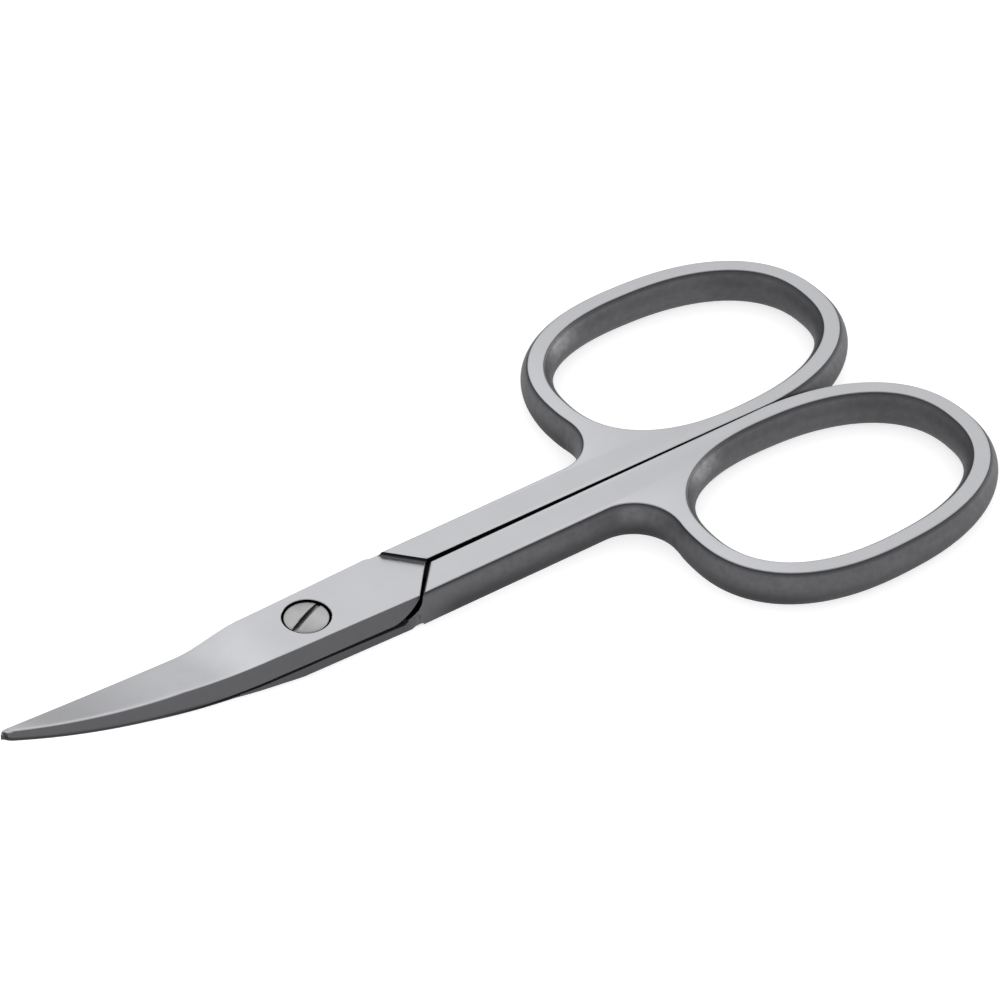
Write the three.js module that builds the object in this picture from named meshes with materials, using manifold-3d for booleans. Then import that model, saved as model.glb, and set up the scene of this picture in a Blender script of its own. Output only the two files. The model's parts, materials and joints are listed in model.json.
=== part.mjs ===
// Nail scissors: two forged halves, each a finger ring, a shank and a curved blade, turning on a slotted screw.
// Millimetres. X runs from the blade tips to the finger rings and Z points up, on the side of the screw head.
// While the pieces are made, X = Y = 0 is the middle of the joint and Z = 0 is the plane between the blades.

import * as THREE from 'three';
import { mergeVertices } from 'three/addons/utils/BufferGeometryUtils.js';
import Module from 'manifold-3d';

// Finger rings
const RING_OPENING_LENGTH = 26.6;
const RING_OPENING_WIDTH = 18.4;
const RING_SQUARENESS = 2.34;
const RING_TAPER = 0.044;
const RING_BAND = 1.3;
const RING_CENTRE_X = 46.95;

// Shanks, and the faces where the two handles meet
const HANDLE_THICKNESS = 3.6;
const SIDE_BELLY = 0.85;
const SHANK_EDGE = 3.15;
const SHANK_FILLET = 4.2;
const SEAM_GAP_AT_JOINT = 0.38;
const SEAM_GAP_AT_RINGS = 0.2;

// Joint: a V in plan. On its outer face each half steps down from shank to blade, and on its inner face it has
// a rounded shoulder that the other half's root clears.
const JOINT_ANGLE = THREE.MathUtils.degToRad(42);
const STEP_APEX_X = 12.2;
const FACE_STEP = 0.45;
const SHOULDER_APEX_X = 12.7;
const SHOULDER_RADIUS = 1.6;
const SHOULDER_GAP = 0.35;
const BLADE_GAP = 0.12;

// Blades: reach is measured along the bend, from the joint's middle, and widths from the middle line
const BLADE_REACH = 29.2;
const GRIND_START = 4.5;
const GRIND_LENGTH = 6.5;
const EDGE_WIDTH = 3.25;
const EDGE_LAND = 0.12;
const OUTLINE_SWEEP = 2;
const SPINE_OVERHANG = 0.08;
const TIP_OVERHANG = 0.23;
const SPINE_SLANT = 0.71;
const ROOT_FLARE = 0.028;
const TIP_WIDTH = 0.49;
const TIP_THICKNESS = 0.7;
const NOSE_LENGTH = 0.9;
const NOSE_WIDTH = 0.2;
const NOSE_THICKNESS = 0.45;
const THINNING_START = 13.3;
const BEND_START = 2.4;
const BEND_RADIUS = 92.4;

// Pivot screw, which stands a little towards the upper blade's cutting edge and towards the rings
const PIVOT_OFFSET = 0.45;
const PIVOT_SHIFT = 0.31;
const HEAD_RADIUS = 1.93;
const HEAD_CLEARANCE = 0.18;
const SEAT_DEPTH = 0.65;
const SEAT_CLEARANCE = 0.05;
const HEAD_RIM_DROP = 0.14;
const HEAD_DOME = 0.2;
const JOURNAL_RADIUS = 1.25;
const JOURNAL_CLEARANCE = 0.08;
const THREAD_RADIUS = 0.95;
const THREAD_CLEARANCE = 0.05;
const SCREW_END_DROP = 0.06;
const SLOT_WIDTH = 0.44;
const SLOT_DEPTH = 0.4;
const SLOT_ANGLE = THREE.MathUtils.degToRad(25);

// Fineness of the facets
const RING_STEPS = 60;
const FILLET_STEPS = 8;
const BELLY_STEPS = 4;
const SHOULDER_STEPS = 8;
const BLADE_STEPS = 18;
const ROUND_STEPS = 36;
const DOME_STEPS = 4;

// Cutters run past what they cut by this much, and joined solids sink into each other by the overlap
const OVERRUN = 5;
const OVERLAP = 0.05;

// Points nearer than this are one point, a tangent is taken over this turn, and a search halves this often
const WELD_DISTANCE = 1e-5;
const TANGENT_TURN = 1e-4;
const SEARCH_PASSES = 50;

// Finishes
const SATIN_STEEL = { color: 0xb9babd, roughness: 0.38, metalness: 1 };
const SCREW_STEEL = { color: 0xc4c4c4, roughness: 0.3, metalness: 1 };

// Sizes that follow from the ones above
const halfThickness = HANDLE_THICKNESS / 2;
const bladeFace = halfThickness - FACE_STEP;
const innerFace = BLADE_GAP / 2;
const bladeThickness = bladeFace - innerFace;
const stepWall = STEP_APEX_X * Math.cos(JOINT_ANGLE);
const shoulderWall = SHOULDER_APEX_X * Math.cos(JOINT_ANGLE);
const shankStart = STEP_APEX_X - (SHOULDER_RADIUS + SHANK_EDGE + SIDE_BELLY) / Math.cos(JOINT_ANGLE);
const handleEnd = RING_CENTRE_X + RING_OPENING_LENGTH + RING_BAND + OVERRUN;
const handleReach = RING_OPENING_WIDTH + 2 * RING_BAND + OVERRUN;
const seatFloor = bladeFace - SEAT_DEPTH;

const wasm = await Module();
wasm.setup();

// Solids

function solidFrom(geometry) {
  geometry.deleteAttribute('normal');
  geometry.deleteAttribute('uv');
  const merged = mergeVertices(geometry, WELD_DISTANCE);
  const vertProperties = new Float32Array(merged.attributes.position.array);
  const triVerts = new Uint32Array(merged.index.array);
  return new wasm.Manifold(new wasm.Mesh({ numProp: 3, vertProperties, triVerts }));
}

function solidOf(positions, triangles) {
  const geometry = new THREE.BufferGeometry();
  geometry.setAttribute('position', new THREE.Float32BufferAttribute(positions, 3));
  geometry.setIndex(triangles);
  return solidFrom(geometry);
}

function geometryFrom(solid) {
  const mesh = solid.getMesh();
  const geometry = new THREE.BufferGeometry();
  geometry.setAttribute('position', new THREE.BufferAttribute(mesh.vertProperties, 3));
  geometry.setIndex(new THREE.BufferAttribute(mesh.triVerts, 1));
  geometry.computeVertexNormals();
  return geometry;
}

// A plan outline made into a block between two heights
function planBlock(points, low, high) {
  const shape = new THREE.Shape(points.map(([x, y]) => new THREE.Vector2(x, y)));
  const geometry = new THREE.ExtrudeGeometry(shape, { depth: high - low, bevelEnabled: false });
  return solidFrom(geometry.translate(0, 0, low));
}

// A solid turned about an upright axis at the pivot's distance along X, from its half profile, given as
// [radius, height] from the bottom up
function turned(profile, axisY) {
  const points = profile.map(([radius, height]) => new THREE.Vector2(radius, height));
  const geometry = new THREE.LatheGeometry(points, ROUND_STEPS);
  return solidFrom(geometry.rotateX(Math.PI / 2).translate(PIVOT_SHIFT, axisY, 0));
}

// The way that each point of a closed outline moves when the outline swells by one
function swellDirections(outline) {
  const normals = outline.map((point, index) => {
    const along = outline[(index + 1) % outline.length].clone().sub(point);
    return new THREE.Vector2(along.y, -along.x).normalize();
  });
  return normals.map((after, index) => {
    const before = normals[(index + normals.length - 1) % normals.length];
    return before.clone().add(after).divideScalar(1 + before.dot(after));
  });
}

// A slab whose sides swell in an arc from its flat faces to its middle, as a forging's do.
// The outline runs anticlockwise and the opening clockwise.
function forgedSlab(outline, opening) {
  const arcRadius = (halfThickness ** 2 + SIDE_BELLY ** 2) / (2 * SIDE_BELLY);
  const points = [...outline, ...opening];
  const directions = [...swellDirections(outline), ...swellDirections(opening)];
  const positions = [];
  const triangles = [];
  for (let level = -BELLY_STEPS; level <= BELLY_STEPS; level += 1) {
    const height = (halfThickness * level) / BELLY_STEPS;
    const swell = Math.sqrt(arcRadius ** 2 - height ** 2) - (arcRadius - SIDE_BELLY);
    for (let index = 0; index < points.length; index += 1) {
      const point = points[index].clone().addScaledVector(directions[index], swell);
      positions.push(point.x, point.y, height);
    }
  }
  for (let level = 0; level < 2 * BELLY_STEPS; level += 1) {
    for (let index = 0; index < points.length; index += 1) {
      const first = index < outline.length ? 0 : outline.length;
      const count = index < outline.length ? outline.length : opening.length;
      const here = level * points.length + index;
      const next = level * points.length + first + ((index - first + 1) % count);
      triangles.push(here, next, next + points.length, here, next + points.length, here + points.length);
    }
  }
  const top = 2 * BELLY_STEPS * points.length;
  for (const [a, b, c] of THREE.ShapeUtils.triangulateShape(outline, [opening])) {
    triangles.push(c, b, a, top + a, top + b, top + c);
  }
  return solidOf(positions, triangles);
}

// A solid through equal rings of points, listed anticlockwise as seen from the first ring's outer side
function lofted(rings) {
  const count = rings[0].length;
  const positions = rings.flat().flatMap((point) => point.toArray());
  const triangles = [];
  for (let ring = 0; ring + 1 < rings.length; ring += 1) {
    for (let side = 0; side < count; side += 1) {
      const here = ring * count + side;
      const next = ring * count + ((side + 1) % count);
      triangles.push(here, here + count, next + count, here, next + count, next);
    }
  }
  const last = (rings.length - 1) * count;
  for (let corner = 1; corner + 1 < count; corner += 1) {
    triangles.push(0, corner, corner + 1);
    triangles.push(last, last + corner + 1, last + corner);
  }
  return solidOf(positions, triangles);
}

// Handle: finger ring and shank, on the +Y side of the seam

// The ring opening's edge about the ring's middle: a superellipse that narrows a little towards its far end
function openingPoint(angle) {
  const along = Math.abs(Math.cos(angle)) / (RING_OPENING_LENGTH / 2);
  const across = Math.abs(Math.sin(angle)) / (RING_OPENING_WIDTH / 2);
  const reach = (along ** RING_SQUARENESS + across ** RING_SQUARENESS) ** (-1 / RING_SQUARENESS);
  const x = reach * Math.cos(angle);
  const narrowing = 1 - (RING_TAPER * x) / (RING_OPENING_LENGTH / 2);
  return new THREE.Vector2(x, reach * Math.sin(angle) * narrowing);
}

function openingNormal(angle) {
  const tangent = openingPoint(angle + TANGENT_TURN).sub(openingPoint(angle - TANGENT_TURN));
  return new THREE.Vector2(tangent.y, -tangent.x).normalize();
}

// The outer edge of the ring's band touches the seam, and that sets the ring's middle
function lowestRingEdge() {
  let lowest = 0;
  for (let step = 0; step < RING_STEPS; step += 1) {
    lowest = Math.min(lowest, openingPoint((step / RING_STEPS) * 2 * Math.PI).y);
  }
  return lowest - RING_BAND;
}

const ringCentre = new THREE.Vector2(RING_CENTRE_X, SEAM_GAP_AT_RINGS / 2 - OVERLAP - lowestRingEdge());

function ringPoint(angle, band) {
  return openingPoint(angle).addScaledVector(openingNormal(angle), band).add(ringCentre);
}

// The angle on the ring where the fillet from the shank's outer edge runs into it
function filletAngle() {
  let high = Math.PI;
  let low = 1.5 * Math.PI;
  for (let pass = 0; pass < SEARCH_PASSES; pass += 1) {
    const middle = (high + low) / 2;
    const centre = ringPoint(middle, RING_BAND + SHANK_FILLET);
    if (centre.y > SHANK_EDGE + SHANK_FILLET) high = middle;
    else low = middle;
  }
  return high;
}

// Outline of the flat face, run past the seam and past the joint, where the handle is cut back afterwards
function handleOutline() {
  const end = filletAngle();
  const start = -Math.PI / 2;
  const outline = [new THREE.Vector2(shankStart, -OVERRUN), new THREE.Vector2(RING_CENTRE_X, -OVERRUN)];
  for (let step = 0; step <= RING_STEPS; step += 1) {
    outline.push(ringPoint(start + ((end - start) * step) / RING_STEPS, RING_BAND));
  }
  const centre = ringPoint(end, RING_BAND + SHANK_FILLET);
  const normal = openingNormal(end);
  const first = Math.atan2(-normal.y, -normal.x);
  for (let step = 1; step <= FILLET_STEPS; step += 1) {
    const angle = first + ((-Math.PI / 2 - first) * step) / FILLET_STEPS;
    const spoke = new THREE.Vector2(Math.cos(angle), Math.sin(angle));
    outline.push(spoke.multiplyScalar(SHANK_FILLET).add(centre));
  }
  outline.push(new THREE.Vector2(shankStart, SHANK_EDGE));
  return outline;
}

function ringOpening() {
  const opening = [];
  for (let step = 0; step < RING_STEPS; step += 1) {
    opening.push(ringPoint((-step / RING_STEPS) * 2 * Math.PI, 0));
  }
  return opening;
}

// The space past the flat face of the seam, which closes towards the rings
function beyondSeam() {
  const atJoint = SEAM_GAP_AT_JOINT / 2;
  const atRings = SEAM_GAP_AT_RINGS / 2;
  const outline = [
    [shankStart - OVERRUN, -handleReach],
    [handleEnd, -handleReach],
    [handleEnd, atRings],
    [RING_CENTRE_X, atRings],
    [STEP_APEX_X, atJoint],
    [shankStart - OVERRUN, atJoint],
  ];
  return planBlock(outline, -HANDLE_THICKNESS, HANDLE_THICKNESS);
}

// The space of a half's shank and its rounded shoulder, which stands below the half's own root.
// With a clearance it grows by that much, and is then the room that the other half's root leaves for it.
function shoulderBlock(clearance) {
  const wall = shoulderWall - clearance;
  const arcCentre = shoulderWall - SHOULDER_RADIUS;
  const arcRadius = SHOULDER_RADIUS - clearance;
  const floor = innerFace - SHOULDER_RADIUS;
  const lowEnd = Math.min(floor, -HANDLE_THICKNESS) - OVERRUN;
  const profile = [[arcCentre, innerFace + OVERLAP]];
  for (let step = 0; step <= SHOULDER_STEPS; step += 1) {
    const angle = ((Math.PI / 2) * step) / SHOULDER_STEPS;
    profile.push([arcCentre + arcRadius * Math.sin(angle), floor + arcRadius * Math.cos(angle)]);
  }
  profile.push([wall, lowEnd], [handleEnd + handleReach, lowEnd]);
  profile.push([handleEnd + handleReach, HANDLE_THICKNESS], [stepWall, HANDLE_THICKNESS]);
  profile.push([stepWall, innerFace + OVERLAP]);
  const shape = new THREE.Shape(profile.map(([away, height]) => new THREE.Vector2(away, height)));
  const length = 2 * (handleEnd + handleReach);
  const geometry = new THREE.ExtrudeGeometry(shape, { depth: length, bevelEnabled: false });
  return geometry.translate(0, 0, -length / 2).rotateX(Math.PI / 2).rotateZ(JOINT_ANGLE);
}

// Everything past the shank's end wall, from a little way inside the shank
function insideShank() {
  const size = 2 * (handleEnd + handleReach);
  const geometry = new THREE.BoxGeometry(size, size, size);
  return geometry.translate(stepWall + SHOULDER_GAP + size / 2, 0, 0).rotateZ(JOINT_ANGLE);
}

function handle() {
  const slab = forgedSlab(handleOutline(), ringOpening());
  return slab.subtract(beyondSeam()).intersect(solidFrom(shoulderBlock(0)));
}

// Blade: spine on the -Y side, cutting edge on the +Y side, inner face down

// A blade section at a distance from the joint's middle towards the tip, negative on the root's side.
// The blade bends up for bend = 1 and down for bend = -1.
function bladeSection(distance, bend) {
  const { lerp, smoothstep, clamp } = THREE.MathUtils;
  const share = Math.max(0, distance - GRIND_START) / (BLADE_REACH - GRIND_START);
  const flare = ROOT_FLARE * Math.max(0, GRIND_START - distance);
  const thinning = clamp((distance - THINNING_START) / (BLADE_REACH - THINNING_START), 0, 1);
  const noseShare = clamp(1 - (BLADE_REACH - distance) / NOSE_LENGTH, 0, 1);
  const thickness = lerp(lerp(bladeThickness, TIP_THICKNESS, thinning), NOSE_THICKNESS, noseShare);
  const grind = smoothstep(distance, GRIND_START, GRIND_START + GRIND_LENGTH);
  const land = lerp(thickness, EDGE_LAND, grind);
  const edge = lerp(EDGE_WIDTH, TIP_WIDTH, share ** OUTLINE_SWEEP) + flare;
  const spine = edge + lerp(SPINE_OVERHANG, TIP_OVERHANG, share);
  const ridge = spine - SPINE_SLANT * thickness;
  const narrowing = lerp(1, NOSE_WIDTH / TIP_WIDTH, noseShare);
  const turn = Math.max(0, distance - BEND_START) / BEND_RADIUS;
  const flat = Math.min(distance, BEND_START);
  const place = (y, height) => {
    const radius = BEND_RADIUS - bend * height;
    const x = -flat - radius * Math.sin(turn);
    return new THREE.Vector3(x, y * narrowing, bend * (BEND_RADIUS - radius * Math.cos(turn)));
  };
  const outer = innerFace + thickness;
  return [place(-spine, innerFace), place(edge, innerFace), place(edge, innerFace + land), place(-ridge, outer)];
}

// The blade ends inside its own shank on one side, and clear of the other half's shoulder on the other
function blade(bend) {
  const distances = [-(SHOULDER_APEX_X + SHANK_EDGE), 0];
  const noseStart = BLADE_REACH - NOSE_LENGTH;
  for (let step = 0; step <= BLADE_STEPS; step += 1) {
    distances.push(THREE.MathUtils.lerp(GRIND_START, noseStart, step / BLADE_STEPS));
  }
  distances.push(BLADE_REACH);
  const whole = lofted(distances.map((distance) => bladeSection(distance, bend)));
  const seamSide = SEAM_GAP_AT_JOINT / 2;
  const otherSide = [
    [-BLADE_REACH, -handleReach],
    [handleEnd, -handleReach],
    [handleEnd, seamSide],
    [-BLADE_REACH, seamSide],
  ];
  const otherShoulder = solidFrom(shoulderBlock(SHOULDER_GAP).rotateX(Math.PI));
  const otherRoom = otherShoulder.intersect(planBlock(otherSide, -handleReach, handleReach));
  return whole.subtract(otherRoom).subtract(solidFrom(insideShank()));
}

// One half without its hole for the screw, outer face up, ring on the +Y side
function half(bend) {
  return handle().add(blade(bend));
}

// Pieces

function upperHalf() {
  const bore = JOURNAL_RADIUS + JOURNAL_CLEARANCE;
  const seat = HEAD_RADIUS + HEAD_CLEARANCE;
  const hole = turned([
    [0, -HANDLE_THICKNESS],
    [bore, -HANDLE_THICKNESS],
    [bore, seatFloor],
    [seat, seatFloor],
    [seat, HANDLE_THICKNESS],
    [0, HANDLE_THICKNESS],
  ], PIVOT_OFFSET);
  return half(1).subtract(hole);
}

// Made with its outer face up, then turned over about X
function lowerHalf() {
  const tapped = THREAD_RADIUS + THREAD_CLEARANCE;
  const hole = turned([
    [0, -HANDLE_THICKNESS],
    [tapped, -HANDLE_THICKNESS],
    [tapped, HANDLE_THICKNESS],
    [0, HANDLE_THICKNESS],
  ], -PIVOT_OFFSET);
  return half(-1).subtract(hole);
}

// Domed slotted head, journal through the upper half and thread in the lower half
function pivotScrew() {
  const end = -bladeFace + SCREW_END_DROP;
  const shoulder = -innerFace + THREAD_CLEARANCE;
  const underHead = seatFloor + SEAT_CLEARANCE;
  const rim = bladeFace - HEAD_RIM_DROP;
  const profile = [
    [0, end],
    [THREAD_RADIUS, end],
    [THREAD_RADIUS, shoulder],
    [JOURNAL_RADIUS, shoulder],
    [JOURNAL_RADIUS, underHead],
    [HEAD_RADIUS, underHead],
  ];
  for (let step = 0; step <= DOME_STEPS; step += 1) {
    const radius = HEAD_RADIUS * (1 - step / DOME_STEPS);
    profile.push([radius, rim + HEAD_DOME * (1 - (radius / HEAD_RADIUS) ** 2)]);
  }
  const slotFloor = rim + HEAD_DOME - SLOT_DEPTH;
  const slot = new THREE.BoxGeometry(2 * HEAD_RADIUS + OVERRUN, SLOT_WIDTH, OVERRUN);
  slot.rotateZ(SLOT_ANGLE).translate(PIVOT_SHIFT, PIVOT_OFFSET, slotFloor + OVERRUN / 2);
  return turned(profile, PIVOT_OFFSET).subtract(solidFrom(slot));
}

// Assembly

function piece(name, solid, finish) {
  const mesh = new THREE.Mesh(geometryFrom(solid), new THREE.MeshStandardMaterial(finish));
  mesh.name = name;
  return mesh;
}

const scissors = new THREE.Group();
scissors.add(piece('upper_half', upperHalf(), SATIN_STEEL));
const lower = piece('lower_half', lowerHalf(), SATIN_STEEL);
lower.rotation.x = Math.PI;
scissors.add(lower);
scissors.add(piece('pivot_screw', pivotScrew(), SCREW_STEEL));

// The origin is on the surface that the handles lie on, under the middle of the whole object
const reach = new THREE.Box3().setFromObject(scissors);
const middle = reach.getCenter(new THREE.Vector3());
scissors.position.set(-middle.x, -middle.y, -reach.min.z);

export default scissors;
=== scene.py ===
"""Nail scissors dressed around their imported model: two forged halves, a slotted pivot screw and a studio.

Lengths are metres. While a half is made, its outer face is up, the joint's middle is at X = Y = 0, and
Z = 0 is the plane between the blades. The lower half is then turned over, and both go to their place in
the frame.
"""

import json
import math

import bmesh
import bpy
import numpy as np
from bpy.props import FloatProperty, FloatVectorProperty, PointerProperty
from bpy.types import Operator, Panel, PropertyGroup
from mathutils import Matrix, Vector
from mathutils.geometry import tessellate_polygon


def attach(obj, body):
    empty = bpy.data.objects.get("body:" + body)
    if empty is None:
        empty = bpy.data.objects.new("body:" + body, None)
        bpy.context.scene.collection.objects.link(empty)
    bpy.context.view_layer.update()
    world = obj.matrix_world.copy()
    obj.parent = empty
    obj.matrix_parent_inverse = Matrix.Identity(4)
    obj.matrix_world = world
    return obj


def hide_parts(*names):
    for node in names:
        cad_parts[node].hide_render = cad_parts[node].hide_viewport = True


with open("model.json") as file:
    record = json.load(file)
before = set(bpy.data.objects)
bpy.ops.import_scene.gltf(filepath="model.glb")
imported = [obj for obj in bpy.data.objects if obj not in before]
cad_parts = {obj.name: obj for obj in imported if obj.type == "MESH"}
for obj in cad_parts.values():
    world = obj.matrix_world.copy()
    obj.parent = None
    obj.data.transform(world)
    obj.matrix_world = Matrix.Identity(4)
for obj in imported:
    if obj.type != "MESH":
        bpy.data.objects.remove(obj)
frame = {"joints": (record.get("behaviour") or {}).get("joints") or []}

bl_info = {
    "name": "Nail scissors",
    "version": (1, 0, 0),
    "blender": (4, 5, 0),
    "location": "View3D > Sidebar > Scissors",
    "description": "Builds the halves, the pivot screw and the studio of a pair of nail scissors",
    "category": "Object",
}

MM = 0.001
RIGHT_ANGLE = math.pi / 2
PIVOT = Vector(frame["joints"][0]["pos_m"])

# The way that a half's blade curves while its outer face is up
UPPER = 1
LOWER = -1

# Fineness of the meshes
RING_STEPS = 168
SHANK_STEPS = 12
FILLET_STEPS = 20
CORNER_STEPS = 4
BELLY_STEPS = 9
SHOULDER_STEPS = 24
RIM_STEPS = 6
WALL_STEPS = 5
BLADE_STEPS = 90
NOSE_STEPS = 10
SECTION_SPLITS = (3, 2, 10, 8)
ROUND_STEPS = 96
DOME_STEPS = 10

# Tools run past what they cut by the overrun and end far away, joined shapes sink into each other by the
# overlap, and roundings cross the flat faces by the skim. A face within the nearness of a surface belongs to
# it, and points within the merge distance are one
OVERRUN = 20 * MM
FAR = 8 * OVERRUN
OVERLAP = 0.05 * MM
SKIM = 0.004 * MM
NEARNESS = 0.02 * MM
MERGE = 0.002 * MM
TANGENT_TURN = 1e-4
SEARCH_PASSES = 50

# The least turn of an edge that is rounded, and of one that is shaded as sharp
ROUNDED_TURN = math.radians(38)
SHARP_TURN = math.radians(32)


def length(name, description, millimetres):
    """A length that a user can change, given in millimetres and kept in metres."""
    metres = millimetres * MM
    return FloatProperty(name=name, description=description, default=metres, unit="LENGTH", precision=5)


def turn(name, description, degrees):
    """An angle that a user can change, given in degrees and kept in radians."""
    return FloatProperty(name=name, description=description, default=math.radians(degrees), unit="ROTATION")


def share(name, description, value):
    """A plain number that a user can change."""
    return FloatProperty(name=name, description=description, default=value, min=0, precision=3)


def colour(name, description, value):
    """A colour that a user can change, in scene linear values."""
    return FloatVectorProperty(
        name=name, description=description, default=value, subtype="COLOR", min=0, max=1
    )


class HandleSizes(PropertyGroup):
    """Finger ring and shank of a half"""

    opening_length: length("Opening length", "Length of a finger ring's opening", 26.6)
    opening_width: length("Opening width", "Width of a finger ring's opening", 18.4)
    squareness: share("Squareness", "Power of the opening's superellipse, 2 for an ellipse", 2.34)
    taper: share("Taper", "Share that the opening narrows by towards its far end", 0.044)
    band: length("Band", "Width of the ring's flat face", 1.3)
    ring_middle: length("Ring middle", "From the joint's middle along to the middle of a ring", 46.95)
    thickness: length("Thickness", "Thickness of the handles", 3.6)
    belly: length("Belly", "Swell of the sides at half height", 0.846)
    shank_belly: length("Shank belly", "Swell of the shank's side at half height", 0.6)
    joint_belly: length("Joint belly", "The same close to the joint", 0.3)
    nest_belly: length("Nest belly", "Further swell inside a ring at its shank end", 0.1)
    edge_round: length("Edge rounding", "Radius between the flat faces and the sides", 0.19)
    face_margin: length("Face margin", "Width of the even strip along the edges of the flat faces", 0.26)
    shank_edge: length("Shank edge", "From the seam's middle to a shank's outer edge", 3.15)
    fillet: length("Fillet", "Radius in the corner between shank and ring", 4.2)
    seam_at_joint: length("Seam at joint", "Gap between the shanks at the joint", 0.52)
    seam_at_rings: length("Seam at rings", "Gap between the handles where the rings meet", 0.12)


class JointSizes(PropertyGroup):
    """The V where shank and blade meet, and the room that each half leaves for the other"""

    angle: turn("Angle", "Slant of the V's branches", 42)
    step_apex: length("Step apex", "From the joint's middle to the step's end at the seam", 12.48)
    face_step: length("Face step", "Height from the blade's face to the shank's face", 0.45)
    step_fillet: length("Step fillet", "Hollow radius at the foot of the step", 0.2)
    shoulder_apex: length("Shoulder apex", "From the joint's middle to the shoulder at the seam", 12.43)
    shoulder_radius: length("Shoulder radius", "Radius from the shoulder's wall to the inner face", 1.36)
    root_angle: turn("Root angle", "Slant of the root's end", 40.2)
    root_top: length("Root top", "From the joint's middle to the root's top end, square to that end", 9.2)
    root_start: length("Root start", "From the joint's middle to the root's end at the inner face", 6.8)
    groove_end: length("Groove end", "From the joint's middle to the end of the groove under the spine", 7.45)
    corner_start: length("Corner start", "From the joint's middle to the cut corner of the root's side", 8.15)
    corner_run: length("Corner run", "Length of the cut corner along the root's side", 0.5)
    corner_depth: length("Corner depth", "Depth of the cut corner across the root's side", 0.18)
    edge_round: length("Edge rounding", "Rounding of the step's top edge", 0.06)
    under_round: length("Under rounding", "The same under the lower half", 0.24)
    rim_round: length("Rim rounding", "Width of the rounding on both edges of the V-shaped gap", 0.3)
    blade_gap: length("Blade gap", "Gap between the inner faces of the blades", 0.12)


class BladeSizes(PropertyGroup):
    """Curved blade; distances are measured from the joint's middle along the bend"""

    reach: length("Reach", "From the joint's middle to the tip", 29.2)
    grind_start: length("Grind start", "Where the grind towards the cutting edge starts", 4.5)
    grind_length: length("Grind length", "Length over which the grind comes in", 6.5)
    under_start: length("Under grind start", "Where the lower blade's grind starts", 2.4)
    under_length: length("Under grind length", "Length over which the lower blade's grind comes in", 6.6)
    under_drop: length("Under drop", "How much lower the lower blade's side is than its back", 0.14)
    under_land: length("Under land", "Thickness left at the end of the lower blade's grind", 0.36)
    under_end: length("Under end", "Where the lower blade's side has thinned to its cutting edge", 17)
    edge_width: length("Edge width", "From the middle line to the cutting edge at the grind's start", 3.25)
    edge_land: length("Edge land", "Thickness left at the cutting edge", 0.12)
    sweep: share("Sweep", "Power of the outline's curve towards the tip", 2)
    overhang: length("Overhang", "How far the spine stands past the other blade's edge", 0.08)
    tip_overhang: length("Tip overhang", "The same at the tip", 0.23)
    slant: share("Slant", "Lean of the spine's side", 0.71)
    root_flare: share("Root flare", "Widening of the root towards the joint", 0.028)
    tip_width: length("Tip width", "From the middle line to the cutting edge at the tip", 0.49)
    tip_thickness: length("Tip thickness", "Blade thickness before the nose", 0.65)
    nose_length: length("Nose length", "Length of the rounded nose", 0.6)
    nose_width: length("Nose width", "Half width of the nose's end", 0.2)
    nose_thickness: length("Nose thickness", "Thickness of the nose's end", 0.46)
    thinning_start: length("Thinning start", "Where the blade starts to thin towards the tip", 13.3)
    bend_start: length("Bend start", "Where the blade starts to curve up", 2.4)
    bend_radius: length("Bend radius", "Radius of the blade's curve", 92.4)
    ridge_round: length("Ridge rounding", "Width of the rounding along the ridge", 0.12)
    gap_round: length("Gap rounding", "Rounding of the root's corner under the other blade's spine", 0.22)


class ScrewSizes(PropertyGroup):
    """Slotted pivot screw and the seat that its head sits in"""

    offset: length("Offset", "From the root's middle line across to the pivot", 0.45)
    shift: length("Shift", "From the joint's middle along to the pivot", 0.31)
    head_radius: length("Head radius", "Radius of the screw's head", 1.93)
    head_clearance: length("Head clearance", "Gap round the head", 0.18)
    seat_depth: length("Seat depth", "Depth of the head's seat", 0.65)
    seat_chamfer: length("Seat chamfer", "Chamfer of the seat's mouth", 0.05)
    rim_drop: length("Rim drop", "Depth of the head's rim under the blade's face", 0.14)
    dome: length("Dome", "Rise of the head from its rim to its middle", 0.2)
    rim_round: length("Rim rounding", "Radius of the head's rim", 0.09)
    journal_radius: length("Journal radius", "Radius of the plain part that the upper half turns on", 1.25)
    journal_clearance: length("Journal clearance", "Gap round the journal", 0.08)
    thread_radius: length("Thread radius", "Radius of the threaded part", 0.95)
    thread_clearance: length("Thread clearance", "Gap round the thread", 0.05)
    end_drop: length("End drop", "Depth of the screw's end under the lower face", 0.06)
    slot_width: length("Slot width", "Width of the driver's slot", 0.44)
    slot_depth: length("Slot depth", "Depth of the driver's slot", 0.4)
    slot_angle: turn("Slot angle", "Turn of the slot from the scissors' length", 25)
    slot_round: length("Slot rounding", "Width of the rounding on the slot's edges", 0.05)


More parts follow.
